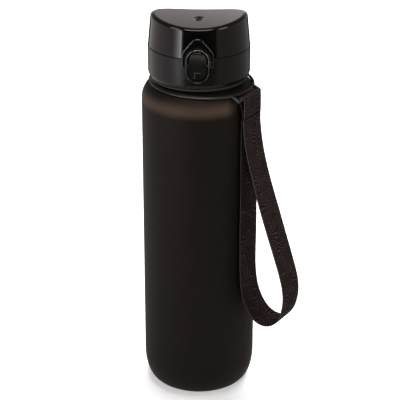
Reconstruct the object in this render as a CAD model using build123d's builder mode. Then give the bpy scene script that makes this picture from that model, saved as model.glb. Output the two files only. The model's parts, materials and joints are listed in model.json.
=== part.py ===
from build123d import *
import math
import os

# A one-litre drinking bottle with a screw cap, a flip-top lid, a lock bail and a carrying strap.
# Millimetres, +Z up. The origin is the centre of the base, and the push button faces -Y.

os.makedirs("parts", exist_ok=True)


def save(part, label):
    """Names a finished piece and writes its file."""
    part.label = label
    export_step(part, f"parts/{label}.step")


# Driving dimensions: bottle shell
body_radius = 40.0
wall = 2.0
foot_inner_radius = 26.0
foot_outer_radius = 32.0
base_corner_height = 21.0
base_thickness = 3.0
push_up = 3.5
shoulder_z = 219.3
shoulder_radius = 14.5
shoulder_centre = body_radius - shoulder_radius
collar_neck_radius = 31.6
neck_radius = 31.0
mouth_radius = 28.5
neck_top = 255.0
bead_low = 234.7
bead_high = 236.6
bead_radius = 33.9

# Driving dimensions: screw thread
thread_pitch = 5.0
thread_turns = 1.6
thread_depth = 1.4
thread_root = 2.6
thread_crest = 1.2
male_thread_z = 242.0
female_thread_z = male_thread_z - thread_pitch / 2

# Driving dimensions: cap
cap_radius = 35.3
cap_low = 237.2
cap_rim = 258.2
cap_inner_radius = 34.0
inner_cap_radius = 33.9
inner_cap_bore = 32.7
deck_low = 256.2
deck_high = 258.0
spout_y = -6.0
spout_bore = 9.5
spout_radius = 11.3
spout_top = 264.6
vent_y = 17.0
vent_radius = 1.6

# Driving dimensions: lid
lid_low = 258.5
lid_high = 286.0
lid_radius = 35.1
lid_taper = 0.092
lid_wall = 1.8
saddle_radius = 104.0
saddle_z = 275.45
saddle_tilt = 6.3
dimple_half_width = 3.6
dimple_half_length = 8.0
dimple_depth = 0.9
liner_low = 267.5
liner_high = 269.0
liner_radius = 31.6

# Driving dimensions: button tower, button and bail
tower_half_width = 8.0
tower_z = 254.0
tower_half_height = 11.9
tower_front = -37.3
tower_back = -26.8
bezel_inset = 0.1
bezel_wall = 0.65
bezel_proud = 0.6
pocket_inset = 1.95
groove_depth = 1.3
groove_foot = 253.2
pocket_back = -28.0
button_gap = 0.2
button_thickness = 1.5
button_travel = 1.5
bail_gap = 0.35
bail_front = -37.3
bail_back = -34.75
bail_half_width = 10.6
bail_apex = 273.3
bail_pivot_y = -36.0
bail_pin_radius = 1.0

# Driving dimensions: lid hinge
hinge_y = 34.6
hinge_z = 261.2
barrel_radius = 2.8
hinge_pin_radius = 1.25
pin_fit = 0.05
lug_inner_x = 6.2
lug_outer_x = 11.0

# Driving dimensions: collar and strap
lug_angle = 59.5
collar_gap = 0.25
collar_thickness = 1.85
collar_top = 232.3
collar_bottom = 230.0
collar_tilt_top = 0.065
collar_tilt_bottom = 0.045
bar_radius = 1.1
bar_half_length = 14.7
slot_half_length = 12.7
webbing = 1.0
webbing_half_width = 11.75
webbing_gap = 0.3
strap_angle = math.radians(28.0)
strap_join_z = 205.0

lug_x = math.sin(math.radians(lug_angle))
lug_y = -math.cos(math.radians(lug_angle))
radial_plane = Plane(origin=(0, 0, 0), x_dir=(lug_x, lug_y, 0), z_dir=(lug_y, -lug_x, 0))


def bar_centre():
    """Gives the lug bar's centre as distance from the bottle's axis, and height."""
    reach = shoulder_radius + webbing_gap + webbing + bar_radius + pin_fit
    across = shoulder_centre + reach * math.cos(strap_angle)
    return across, shoulder_z + reach * math.sin(strap_angle)


bar_across, bar_z = bar_centre()


def shoulder_height(radius, offset=0.0):
    """Gives the height at which the shoulder, grown by offset, has the given radius."""
    reach = shoulder_radius + offset
    return shoulder_z + math.sqrt(reach**2 - (radius - shoulder_centre) ** 2)


def shoulder_arc(start, end, offset=0.0):
    """Draws the shoulder's arc, grown by offset, between two radii, inside a BuildLine."""
    reach = shoulder_radius + offset
    points = [(r, shoulder_height(r, offset)) for r in (start, end)]
    half = math.atan2(points[0][1] - shoulder_z, start - shoulder_centre)
    half += math.atan2(points[1][1] - shoulder_z, end - shoulder_centre)
    half /= 2
    middle = (shoulder_centre + reach * math.cos(half), shoulder_z + reach * math.sin(half))
    return ThreePointArc(points[0], middle, points[1])


def lid_outer_radius(height):
    return lid_radius - lid_taper * (height - lid_low)


# Bottle shell with its neck, bead and thread
with BuildPart() as thread_male:
    with BuildLine() as male_path:
        Helix(thread_pitch, thread_pitch * thread_turns, neck_radius, center=(0, 0, male_thread_z))
    with BuildSketch(Plane(origin=male_path.line @ 0, x_dir=(1, 0, 0), z_dir=male_path.line % 0)):
        with BuildLine():
            Polyline(
                (-0.4, -thread_root / 2 - 0.2),
                (0, -thread_root / 2),
                (thread_depth, -thread_crest / 2),
                (thread_depth, thread_crest / 2),
                (0, thread_root / 2),
                (-0.4, thread_root / 2 + 0.2),
                close=True,
            )
        make_face()
    sweep(path=male_path.line, is_frenet=True)

with BuildPart() as bottle_body:
    with BuildSketch(Plane.XZ):
        with BuildLine():
            Line((0, push_up), (foot_inner_radius - 4, push_up))
            Line((foot_inner_radius - 4, push_up), (foot_inner_radius, 0))
            Line((foot_inner_radius, 0), (foot_outer_radius, 0))
            EllipticalCenterArc(
                (foot_outer_radius, base_corner_height),
                body_radius - foot_outer_radius,
                base_corner_height,
                start_angle=270,
                arc_size=90,
            )
            Line((body_radius, base_corner_height), (body_radius, shoulder_z))
            shoulder_arc(body_radius, collar_neck_radius)
            Line((collar_neck_radius, shoulder_height(collar_neck_radius)), (collar_neck_radius, bead_low))
            Line((collar_neck_radius, bead_low), (bead_radius - 0.6, bead_low))
            Line((bead_radius - 0.6, bead_low), (bead_radius, bead_low + 0.6))
            Line((bead_radius, bead_low + 0.6), (bead_radius, bead_high - 0.6))
            Line((bead_radius, bead_high - 0.6), (bead_radius - 0.6, bead_high))
            Line((bead_radius - 0.6, bead_high), (neck_radius, bead_high))
            Line((neck_radius, bead_high), (neck_radius, neck_top))
            Line((neck_radius, neck_top), (mouth_radius, neck_top))
            Line((mouth_radius, neck_top), (mouth_radius, shoulder_height(mouth_radius, -wall)))
            shoulder_arc(mouth_radius, body_radius - wall, -wall)
            Line((body_radius - wall, shoulder_z), (body_radius - wall, base_corner_height))
            EllipticalCenterArc(
                (foot_outer_radius, base_corner_height),
                body_radius - wall - foot_outer_radius,
                base_corner_height - base_thickness,
                start_angle=270,
                arc_size=90,
            )
            Line((foot_outer_radius, base_thickness), (foot_inner_radius, base_thickness))
            Line((foot_inner_radius, base_thickness), (foot_inner_radius - 4, push_up + base_thickness))
            Line((foot_inner_radius - 4, push_up + base_thickness), (0, push_up + base_thickness))
            Line((0, push_up + base_thickness), (0, push_up))
        make_face()
    revolve(axis=Axis.Z)
    add(thread_male.part)

save(bottle_body.part, "bottle_body")

# Inner cap: skirt with the thread, and the deck
with BuildPart() as thread_female:
    with BuildLine() as female_path:
        Helix(thread_pitch, thread_pitch * thread_turns, inner_cap_bore, center=(0, 0, female_thread_z))
    with BuildSketch(Plane(origin=female_path.line @ 0, x_dir=(1, 0, 0), z_dir=female_path.line % 0)):
        with BuildLine():
            Polyline(
                (0.4, -thread_root / 2 - 0.2),
                (0, -thread_root / 2),
                (-thread_depth, -thread_crest / 2),
                (-thread_depth, thread_crest / 2),
                (0, thread_root / 2),
                (0.4, thread_root / 2 + 0.2),
                close=True,
            )
        make_face()
    sweep(path=female_path.line, is_frenet=True)

with BuildPart() as inner_cap:
    with BuildSketch(Plane.XY.offset(cap_low + 0.6)):
        Circle(inner_cap_radius)
    extrude(amount=deck_high - cap_low - 0.6)
    with BuildSketch(Plane.XY.offset(cap_low + 0.6)):
        Circle(inner_cap_bore)
    extrude(amount=deck_low - cap_low - 0.6, mode=Mode.SUBTRACT)
    with BuildSketch(Plane.XY.offset(deck_low)):
        with Locations((0, spout_y)):
            Circle(spout_bore + 3.0)
        with Locations((0, vent_y)):
            Circle(vent_radius)
    extrude(amount=deck_high - deck_low, mode=Mode.SUBTRACT)
    add(thread_female.part)

save(inner_cap.part, "inner_cap")

# Gasket that the neck's rim presses on
with BuildPart() as neck_gasket:
    with BuildSketch(Plane.XY.offset(neck_top + 0.05)):
        Circle(neck_radius + 1.2)
        Circle(mouth_radius + 0.2, mode=Mode.SUBTRACT)
    extrude(amount=deck_low - neck_top - 0.1)

save(neck_gasket.part, "neck_gasket")

# Drinking spout, its washer and the air valve, all standing on the deck
washer_thickness = 0.6
flange_thickness = 0.9
spout_flange = spout_bore + 4.6
spout_floor = deck_high + washer_thickness

with BuildPart() as drinking_spout:
    with BuildSketch(Plane.XZ):
        with BuildLine():
            Polyline(
                (spout_bore, deck_low),
                (spout_bore + 2.9, deck_low),
                (spout_bore + 2.9, spout_floor),
                (spout_flange, spout_floor),
                (spout_flange, spout_floor + flange_thickness),
                (spout_radius, spout_floor + flange_thickness),
                (spout_radius, spout_top),
                (spout_bore, spout_top),
                close=True,
            )
        make_face()
    revolve(axis=Axis.Z)
    rim = drinking_spout.edges().filter_by(GeomType.CIRCLE).group_by(Axis.Z)[-1]
    fillet(rim, radius=0.7)
drinking_spout.part = drinking_spout.part.moved(Location((0, spout_y, 0)))
save(drinking_spout.part, "drinking_spout")

with BuildPart() as spout_washer:
    with BuildSketch(Plane.XY.offset(deck_high)):
        with Locations((0, spout_y)):
            Circle(spout_flange - 0.2)
            Circle(spout_bore + 3.0, mode=Mode.SUBTRACT)
    extrude(amount=washer_thickness)

save(spout_washer.part, "spout_washer")

with BuildPart() as vent_valve:
    with BuildSketch(Plane.XY.offset(deck_low - 1.0)):
        with Locations((0, vent_y)):
            Circle(vent_radius - 0.1)
    extrude(amount=deck_high - deck_low + 1.0)
    with BuildSketch(Plane.XY.offset(deck_high)):
        with Locations((0, vent_y)):
            Circle(vent_radius * 2)
    extrude(amount=1.1, taper=25)

save(vent_valve.part, "vent_valve")


def front_plane(y):
    """Gives the upright plane at this y, whose extrusions run towards -Y."""
    return Plane.XZ.offset(-y)


def obround(inset, mode=Mode.ADD):
    """Draws the button tower's outline, shrunk by inset."""
    with Locations((0, tower_z)):
        SlotOverall(2 * (tower_half_height - inset), 2 * (tower_half_width - inset), rotation=90, mode=mode)


button_inset = pocket_inset + button_gap
arc_z = tower_z + tower_half_height - tower_half_width

# Cap shell: the outer skirt, the button tower and the two hinge lugs
catch_slot_half_width = 2.6
catch_slot_front = -32.0
catch_slot_back = -28.4

with BuildPart() as cap_shell:
    with BuildSketch(Plane.XZ):
        with BuildLine():
            Polyline(
                (cap_inner_radius, cap_low),
                (cap_radius - 0.8, cap_low),
                (cap_radius, cap_low + 2.2),
                (cap_radius, cap_rim - 0.4),
                (cap_radius - 0.4, cap_rim),
                (cap_inner_radius, cap_rim),
                close=True,
            )
        make_face()
    revolve(axis=Axis.Z)
    with BuildSketch(front_plane(tower_back)):
        obround(0)
    extrude(amount=tower_back - tower_front)
    for side in (-1, 1):
        with BuildSketch(Plane.YZ.offset(side * lug_inner_x)):
            with BuildLine():
                Polyline(
                    (33.2, cap_rim - 3),
                    (34.8, cap_rim - 9),
                    (hinge_y + barrel_radius * 0.95, hinge_z - 0.8),
                    (hinge_y - barrel_radius * 0.9, hinge_z - 0.8),
                    (33.2 - 1.2, cap_rim + 0.2),
                    close=True,
                )
            make_face()
            with Locations((hinge_y, hinge_z)):
                Circle(barrel_radius)
        extrude(amount=side * (lug_outer_x - lug_inner_x))
    with BuildSketch(Plane.XY.offset(cap_low - 10)):
        Circle(cap_inner_radius)
    extrude(amount=cap_rim + 0.1 - cap_low + 10, mode=Mode.SUBTRACT)
    with BuildSketch(front_plane(pocket_back)):
        obround(pocket_inset)
    extrude(amount=pocket_back - tower_front + 1, mode=Mode.SUBTRACT)
    with BuildSketch(front_plane(tower_front + groove_depth)):
        obround(bezel_inset + bezel_wall)
        with Locations((0, groove_foot - 10)):
            Rectangle(40, 20, mode=Mode.SUBTRACT)
    extrude(amount=groove_depth + 1, mode=Mode.SUBTRACT)
    with BuildSketch(Plane.XY.offset(arc_z + 3)):
        with Locations((0, (catch_slot_front + catch_slot_back) / 2)):
            Rectangle(2 * catch_slot_half_width, catch_slot_back - catch_slot_front)
    extrude(amount=10, mode=Mode.SUBTRACT)
    with BuildSketch(Plane.YZ.offset(-20)):
        with Locations((hinge_y, hinge_z)):
            Circle(hinge_pin_radius + pin_fit)
        with Locations((bail_pivot_y, tower_z)):
            Circle(bail_pin_radius + 0.03)
    extrude(amount=40, mode=Mode.SUBTRACT)

save(cap_shell.part, "cap_shell")

# Trim ring round the button
with BuildPart() as button_bezel:
    with BuildSketch(front_plane(tower_front)):
        obround(bezel_inset)
        obround(bezel_inset + bezel_wall, mode=Mode.SUBTRACT)
    extrude(amount=bezel_proud)
    fillet(button_bezel.faces().sort_by(Axis.Y)[0].edges(), radius=0.28)

save(button_bezel.part, "button_bezel")

# Push button: dished face, stem that bears on the springs, and the hook for the lid
button_back = tower_front + button_thickness
stem_back = button_back + 1.2
hook_low = arc_z + 4.4
hook_high = hook_low + 0.8
hook_tip = -31.7
spring_x = 3.9
spring_z = arc_z + 2.1
dish_radius = 60.0
dish_depth = 0.9
mark_size = 3.2
mark_z = tower_z - 6.8

with BuildPart() as push_button:
    with BuildSketch(front_plane(button_back)):
        obround(button_inset)
    extrude(amount=button_thickness)
    fillet(push_button.faces().sort_by(Axis.Y)[0].edges(), radius=0.4)
    with BuildSketch(front_plane(stem_back)):
        with Locations((0, arc_z + 1.9)):
            Rectangle(10.0, 2.2)
    extrude(amount=stem_back - button_back)
    with BuildSketch(front_plane(hook_tip)):
        with Locations((0, (hook_low + hook_high) / 2)):
            Rectangle(4.8, hook_high - hook_low)
    extrude(amount=hook_tip - button_back)
    with Locations((0, tower_front - dish_radius + dish_depth, tower_z - 2)):
        Sphere(dish_radius, mode=Mode.SUBTRACT)
    with BuildSketch(front_plane(tower_front + dish_depth + 0.3)):
        with Locations((0, mark_z)):
            Rectangle(mark_size, mark_size)
    extrude(amount=3, mode=Mode.SUBTRACT)

save(push_button.part, "push_button")


def coil(path_start, direction, length, mean_radius, wire_radius, turns):
    """Makes a coil spring that starts at path_start and runs along direction."""
    with BuildPart() as spring:
        with BuildLine() as path:
            Helix(length / turns, length, mean_radius, center=path_start, direction=direction)
        with BuildSketch(Plane(origin=path.line @ 0, z_dir=path.line % 0)):
            Circle(wire_radius)
        sweep(path=path.line, is_frenet=True)
    return spring.part


spring_wire = 0.25
spring_clear = 0.1
spring_length = pocket_back - stem_back - 2 * (spring_wire + spring_clear)
spring_start = stem_back + spring_wire + spring_clear
coils = [
    coil((side * spring_x, spring_start, spring_z), (0, 1, 0), spring_length, 1.0, spring_wire, 6)
    for side in (-1, 1)
]
button_springs = Compound(children=coils)
save(button_springs, "button_springs")

# Lock bail that swings over the button tower, and its two pivot pins
bail_foot = tower_z - 1.3
bail_shoulder = bail_apex - 10.0
bail_inner = tower_half_width + bail_gap
bail_edge_round = 0.55
nose_half_width = 2.3
nose_round = 4.5
shoulder_round = 6.0

with BuildPart() as lock_bail:
    with BuildSketch(front_plane(bail_back)):
        with BuildLine():
            FilletPolyline(
                (-bail_half_width, bail_foot),
                (-bail_half_width, bail_shoulder),
                (-nose_half_width, bail_apex),
                (nose_half_width, bail_apex),
                (bail_half_width, bail_shoulder),
                (bail_half_width, bail_foot),
                radius=[shoulder_round, nose_round, nose_round, shoulder_round],
            )
            Polyline((bail_half_width, bail_foot), (bail_inner, bail_foot), (bail_inner, arc_z))
            ThreePointArc((bail_inner, arc_z), (0, arc_z + bail_inner), (-bail_inner, arc_z))
            Polyline((-bail_inner, arc_z), (-bail_inner, bail_foot), (-bail_half_width, bail_foot))
        make_face()
    extrude(amount=bail_back - bail_front)
    feet = lock_bail.edges().filter_by(Axis.X).group_by(Axis.Z)[0]
    fillet(feet, radius=1.2)
    fillet(lock_bail.faces().sort_by(Axis.Y)[0].edges(), radius=bail_edge_round)
    with BuildSketch(Plane.YZ.offset(-20)):
        with Locations((bail_pivot_y, tower_z)):
            Circle(bail_pin_radius + pin_fit)
    extrude(amount=40, mode=Mode.SUBTRACT)

save(lock_bail.part, "lock_bail")

with BuildPart() as bail_pins:
    for side in (-1, 1):
        with BuildSketch(Plane.YZ.offset(side * (tower_half_width - 1.7))):
            with Locations((bail_pivot_y, tower_z)):
                Circle(bail_pin_radius)
        extrude(amount=side * 4.1)

save(bail_pins.part, "bail_pins")

# Hinge pin and the torsion spring that lifts the lid
with BuildPart() as hinge_pin:
    with BuildSketch(Plane.YZ.offset(-lug_outer_x - 0.4)):
        with Locations((hinge_y, hinge_z)):
            Circle(hinge_pin_radius)
    extrude(amount=2 * (lug_outer_x + 0.4))
    chamfer(hinge_pin.edges().filter_by(GeomType.CIRCLE), length=0.3)

save(hinge_pin.part, "hinge_pin")

torsion_radius = 1.95
torsion_wire = 0.28
torsion_half_length = 2.3
torsion_coil = coil(
    (-torsion_half_length, hinge_y, hinge_z),
    (1, 0, 0),
    2 * torsion_half_length,
    torsion_radius,
    torsion_wire,
    6,
)
save(torsion_coil, "hinge_spring")

# Lid: outer shell with a saddle-shaped top, notched for the button tower
lid_back_cut = 11.5
knuckle_inner_x = 3.2
knuckle_outer_x = 5.9
lid_top = 2.0
edge_round = 2.3
dimple_sphere = (dimple_half_width**2 + dimple_depth**2) / (2 * dimple_depth)
tilt = math.radians(saddle_tilt)


saddle_plane = Plane(
    origin=(0, saddle_radius * math.sin(tilt), saddle_z + saddle_radius * math.cos(tilt)),
    x_dir=(1, 0, 0),
    z_dir=(0, math.cos(tilt), -math.sin(tilt)),
)


def lid_solid(inset, depth):
    """Makes the lid's tapered drum, shrunk by inset, with its top scooped depth under the outer top."""
    with BuildPart() as drum:
        with BuildSketch(Plane.XZ):
            with BuildLine():
                Polyline(
                    (0, lid_low),
                    (lid_outer_radius(lid_low) - inset, lid_low),
                    (lid_outer_radius(lid_high) - inset, lid_high),
                    (0, lid_high),
                    close=True,
                )
            make_face()
        revolve(axis=Axis.Z)
        with BuildSketch(saddle_plane):
            Circle(saddle_radius + depth)
        extrude(amount=60, both=True, mode=Mode.SUBTRACT)
    return drum.part


lid_cavity = lid_solid(lid_wall, lid_top)
dimple_rise = dimple_sphere - dimple_depth
dimple_place = Location(
    (0, dimple_rise * math.sin(tilt), saddle_z + dimple_rise * math.cos(tilt)), (-saddle_tilt, 0, 0)
)

with BuildPart() as dimple:
    Sphere(dimple_sphere)
    scale(by=(1, dimple_half_length / dimple_half_width, 1))

with BuildPart() as lid_shell:
    add(lid_solid(0, 0))
    top_edges = lid_shell.faces().sort_by(Axis.Z)[-1].edges()
    fillet(top_edges, radius=edge_round)
    add(lid_cavity, mode=Mode.SUBTRACT)
    add(dimple.part.moved(dimple_place), mode=Mode.SUBTRACT)
    with BuildSketch(front_plane(tower_back + 0.4)):
        obround(-bail_gap)
    extrude(amount=20, mode=Mode.SUBTRACT)
    with BuildSketch(Plane.XY.offset(lid_low - 1)):
        with Locations((0, hinge_y)):
            Rectangle(2 * lid_back_cut, 11)
    extrude(amount=hinge_z + 3.3 - lid_low + 1, mode=Mode.SUBTRACT)
    for side in (-1, 1):
        with BuildSketch(Plane.YZ.offset(side * knuckle_inner_x)):
            with BuildLine():
                Polyline(
                    (hinge_y - 2.2, hinge_z - 0.8),
                    (hinge_y + 1.5, hinge_z + 1.5),
                    (hinge_y - 0.3, hinge_z + 4.8),
                    (hinge_y - 2.2, hinge_z + 4.8),
                    close=True,
                )
            make_face()
            with Locations((hinge_y, hinge_z)):
                Circle(barrel_radius)
        extrude(amount=side * (knuckle_outer_x - knuckle_inner_x))
    with BuildSketch(Plane.YZ.offset(-20)):
        with Locations((hinge_y, hinge_z)):
            Circle(hinge_pin_radius + pin_fit)
    extrude(amount=40, mode=Mode.SUBTRACT)

save(lid_shell.part, "lid_shell")

# Lid liner with the ring that holds the spout's seal
seal_radius = 12.4

with BuildPart() as lid_liner:
    with BuildSketch(Plane.XY.offset(liner_low)):
        Circle(liner_radius)
    extrude(amount=liner_high - liner_low)
    with BuildSketch(Plane.XY.offset(liner_low)):
        with Locations((0, spout_y)):
            Circle(seal_radius + 1.4)
            Circle(seal_radius + 0.1, mode=Mode.SUBTRACT)
    extrude(amount=-2.2)

save(lid_liner.part, "lid_liner")

# Silicone seal that closes the spout
plug_depth = 2.0

with BuildPart() as spout_seal:
    with BuildSketch(Plane.XZ):
        with BuildLine():
            Polyline(
                (0, liner_low - 0.05),
                (seal_radius, liner_low - 0.05),
                (seal_radius, spout_top + 0.05),
                (spout_bore - 0.7, spout_top + 0.05),
                (spout_bore - 1.4, spout_top - plug_depth),
                (spout_bore - 3.0, spout_top - plug_depth),
                (spout_bore - 4.0, spout_top + 0.6),
                (0, spout_top + 0.6),
                close=True,
            )
        make_face()
    revolve(axis=Axis.Z)
spout_seal.part = spout_seal.part.moved(Location((0, spout_y, 0)))
save(spout_seal.part, "spout_seal")

# Catch that the button's hook faces, fixed under the liner
catch_front = -29.9
catch_back = -28.7
catch_low = hook_low - 1.1

with BuildPart() as lid_catch:
    with BuildSketch(Plane.XY.offset(liner_low - 0.9)):
        with Locations((0, -29.0)):
            Rectangle(9.0, 5.0)
    extrude(amount=0.85)
    with BuildSketch(front_plane(catch_back)):
        with BuildLine():
            Polyline(
                (-2.2, catch_low),
                (2.2, catch_low),
                (2.2, liner_low - 0.5),
                (-2.2, liner_low - 0.5),
                close=True,
            )
        make_face()
    extrude(amount=catch_back - catch_front)
    with BuildSketch(front_plane(catch_front)):
        with Locations((0, catch_low + 0.4)):
            Rectangle(4.4, 0.8)
    extrude(amount=catch_front - hook_tip - 0.2)

save(lid_catch.part, "lid_catch")

# Soft collar round the neck: a tilted band on the shoulder with a lug bar for the strap
collar_inner = collar_neck_radius + collar_gap
collar_outer = collar_inner + collar_thickness
collar_over = collar_gap + collar_thickness
collar_ceiling = bead_low - 0.3
relief = bar_radius + pin_fit + webbing + 0.45

with BuildPart() as strap_ring:
    with BuildSketch(Plane.XZ):
        with BuildLine():
            inner_turn = (collar_inner, shoulder_height(collar_inner, collar_gap))
            outer_turn = (collar_outer, shoulder_height(collar_outer, collar_over))
            shoulder_arc(body_radius + collar_gap, collar_inner, collar_gap)
            Line(inner_turn, (collar_inner, collar_ceiling))
            Line((collar_inner, collar_ceiling), (collar_outer, collar_ceiling))
            Line((collar_outer, collar_ceiling), outer_turn)
            shoulder_arc(collar_outer, body_radius + collar_over, collar_over)
            Line((body_radius + collar_over, shoulder_z), (body_radius + collar_gap, shoulder_z))
        make_face()
    revolve(axis=Axis.Z)
    split(bisect_by=Plane(origin=(0, 0, collar_top), z_dir=(collar_tilt_top, 0, 1)), keep=Keep.BOTTOM)
    split(bisect_by=Plane(origin=(0, 0, collar_bottom), z_dir=(collar_tilt_bottom, 0, 1)), keep=Keep.TOP)
    with BuildSketch(radial_plane):
        with Locations((bar_across, bar_z)):
            Circle(relief)
    extrude(amount=slot_half_length, both=True, mode=Mode.SUBTRACT)
    with BuildSketch(radial_plane):
        with Locations((bar_across, bar_z)):
            Circle(bar_radius)
    extrude(amount=bar_half_length, both=True)
    for side in (-1, 1):
        with BuildSketch(radial_plane.offset(side * slot_half_length)):
            with BuildLine():
                Polyline(
                    (34.1, 229.4),
                    (33.4, 231.2),
                    (bar_across + 0.6, bar_z + 1.2),
                    (bar_across + 1.3, bar_z + 0.2),
                    (bar_across + 0.6, bar_z - 1.2),
                    (bar_across - 1.2, bar_z - 0.9),
                    close=True,
                )
            make_face()
        extrude(amount=side * (bar_half_length - slot_half_length))

save(strap_ring.part, "strap_ring")

# Carrying strap: one band of webbing round the lug bar, sewn below it, then the hand loop
fold_radius = bar_radius + pin_fit + webbing
outer_layer = bar_across + fold_radius
back_layer = body_radius + webbing_gap
hang_reach = shoulder_radius + webbing_gap
loop_corners = [
    (back_layer, strap_join_z),
    (back_layer, 84.0),
    (50.0, 58.6),
    (75.5, 58.6),
    (78.6, 90.0),
    (outer_layer, strap_join_z),
]
loop_radii = [30.0, 15.0, 15.0, 40.0]


with BuildSketch() as loop_face:
    with BuildLine():
        path = FilletPolyline(*loop_corners, radius=loop_radii)
        Line(path @ 1, path @ 0)
    make_face()

with BuildPart() as loop_hole:
    with BuildSketch(radial_plane):
        add(loop_face.sketch)
        offset(amount=-webbing, mode=Mode.REPLACE)
    extrude(amount=webbing_half_width + 1, both=True)

with BuildPart() as strap_webbing:
    with BuildSketch(radial_plane):
        add(loop_face.sketch)
        with BuildLine():
            CenterArc((bar_across, bar_z), fold_radius, 0, 180 + math.degrees(strap_angle))
            CenterArc((shoulder_centre, shoulder_z), hang_reach, 0, math.degrees(strap_angle))
            Line((back_layer, shoulder_z), (back_layer, strap_join_z))
            Line((back_layer, strap_join_z), (outer_layer, strap_join_z))
            Line((outer_layer, strap_join_z), (outer_layer, bar_z))
        make_face()
        with Locations((bar_across, bar_z)):
            Circle(bar_radius + pin_fit, mode=Mode.SUBTRACT)
    extrude(amount=webbing_half_width, both=True)
    add(loop_hole.part, mode=Mode.SUBTRACT)

save(strap_webbing.part, "strap_webbing")

# Stitched tack that joins the strap's layers
tack_z = 213.6
tack_height = 3.0
tack_depth = 0.3

with BuildPart() as strap_stitching:
    with BuildSketch(radial_plane):
        with Locations((outer_layer + tack_depth / 2, tack_z)):
            Rectangle(tack_depth, tack_height)
    extrude(amount=webbing_half_width - 1.2, both=True)

save(strap_stitching.part, "strap_stitching")
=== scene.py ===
import json
import math

import bmesh
import bpy
import numpy as np
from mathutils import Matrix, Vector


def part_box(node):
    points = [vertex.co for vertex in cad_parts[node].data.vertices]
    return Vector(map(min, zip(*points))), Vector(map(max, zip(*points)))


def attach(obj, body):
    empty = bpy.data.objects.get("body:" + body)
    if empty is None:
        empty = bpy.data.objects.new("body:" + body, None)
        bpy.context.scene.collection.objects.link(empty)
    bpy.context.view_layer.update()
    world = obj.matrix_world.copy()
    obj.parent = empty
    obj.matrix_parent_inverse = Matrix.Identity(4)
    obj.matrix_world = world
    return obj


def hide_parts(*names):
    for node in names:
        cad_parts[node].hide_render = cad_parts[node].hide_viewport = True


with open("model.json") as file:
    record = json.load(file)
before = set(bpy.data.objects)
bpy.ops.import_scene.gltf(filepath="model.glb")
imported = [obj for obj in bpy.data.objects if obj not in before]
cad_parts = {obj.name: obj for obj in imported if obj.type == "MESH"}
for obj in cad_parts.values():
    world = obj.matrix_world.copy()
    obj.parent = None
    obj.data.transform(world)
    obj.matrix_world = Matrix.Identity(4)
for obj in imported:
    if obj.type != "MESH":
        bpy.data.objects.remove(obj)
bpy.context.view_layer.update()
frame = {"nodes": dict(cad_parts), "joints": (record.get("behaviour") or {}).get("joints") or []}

bl_info = {
    "name": "Drinking bottle looks",
    "version": (1, 0, 0),
    "blender": (4, 5, 0),
    "location": "3D View > Sidebar > Bottle",
    "description": "Dresses a flip-top drinking bottle: shell, cap, collar, strap, finishes and studio",
    "category": "Object",
}

# Backdrop light by the sine of the height angle: warm and pale low down, dim above. It leans with the
# sideways direction, by the spread and the lean, and no further than the last value
BACKDROP = [(0.080, 0.90), (0.092, 0.66), (0.100, 0.42), (0.108, 0.32), (0.30, 0.22), (0.60, 0.15)]
BACKDROP_TINT = (1.0, 0.935, 0.915)
BACKDROP_SPREAD, BACKDROP_LEAN, BACKDROP_MOST = 2.19, -0.022, 0.04

# Lamp overhead, and the wide soft card in front: its light's height angle, and the height it aims at
LAMP_ENERGY, LAMP_SIZE = 70, 1.6
LAMP_PLACE, LAMP_TURN = (0.2, 0.5, 1.9), (-0.25, 0.1, 0.0)
SOFT_CARD_RISE, SOFT_CARD_AIM = 0.82, 0.27
SOFT_CARD_HALF_WIDTH, SOFT_CARD_HALF_HEIGHT = 0.5, 0.34
FLOOR_HALF_SIZE, FLOOR_GLOW = 6.0, 0.45
FLOOR_CARD_HALF_SIZE, FLOOR_CARD_HEIGHT = 2.0, 0.0004

STEEL_DARK, STEEL_LIGHT = (0.42, 0.42, 0.43), (0.66, 0.66, 0.67)

# Body: heights between which the painted glow on the shoulder fades in and out, where it ends on the
# right, the heights where the painted shade on the neck starts, and those of the painted highlight
# on the neck's bead
GLOW_START, GLOW_END = (0.2150, 0.2218), (0.2222, 0.2288)
GLOW_RIGHT = (0.018, 0.027)
NECK_SHADE_START = (0.2295, 0.2310)
BEAD_HIGHLIGHT_START, BEAD_HIGHLIGHT_END = (0.2344, 0.2350), (0.2363, 0.2368)
# The neck's colour is painted shade under the cap; the bead's colour is a painted highlight
NECK_SHADE_COLOUR, BEAD_HIGHLIGHT_COLOUR = (0.0012, 0.0010, 0.0009), (0.040, 0.037, 0.034)
SPECK_COLOUR = (0.016, 0.013, 0.011)

# Bezel: the heights between which a painted highlight brightens its plating towards its top
BEZEL_HIGHLIGHT = (0.247, 0.262)

# Button: the middle height of the square mark, and how far its frame reaches from it; the frame's top
# and left carry a painted highlight
MARK_HEIGHT = 0.2472
MARK_FRAME = (0.00165, 0.00225)

# Lid: half width and half length of the dimple, and the slope that the bump adds to its floor
DIMPLE = (0.0036, 0.0080)
DIMPLE_SLOPE = 0.16

# Strap: its grid, the bar it folds over, the hand loop and the tack
STRAP_ROWS = 900
STRAP_COLUMNS = 47
BAR_RADIUS = 0.0011
LOOP_POINTS = [
    (0.0446, 0.190),
    (0.0506, 0.168),
    (0.0583, 0.145),
    (0.0664, 0.122),
    (0.0745, 0.099),
    (0.0769, 0.087),
    (0.0757, 0.075),
    (0.0722, 0.0655),
    (0.0655, 0.0601),
    (0.0580, 0.0597),
    (0.0515, 0.0630),
    (0.0463, 0.0700),
    (0.0425, 0.0790),
]
WAVE_CELL = 0.017
WAVE_PITCH = 0.0016
WAVE_HEIGHT = 0.00011
WEFT_PITCH, WARP_PITCH = 0.00055, 0.00050
STITCH_LENGTH = 0.0017
STITCH_RADIUS = 0.00022
STRAP_FRONT = 0.0025
SEAM_HEIGHT = 0.2141
SEAM_STEP = 0.0003
# the spread of the shadow painted across the strap under the edge of the folded flap
SEAM_SHADOW_SOFTNESS = 0.00075
TACK_ROWS = [(0.2157, 0.0), (0.2124, -SEAM_STEP)]

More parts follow.
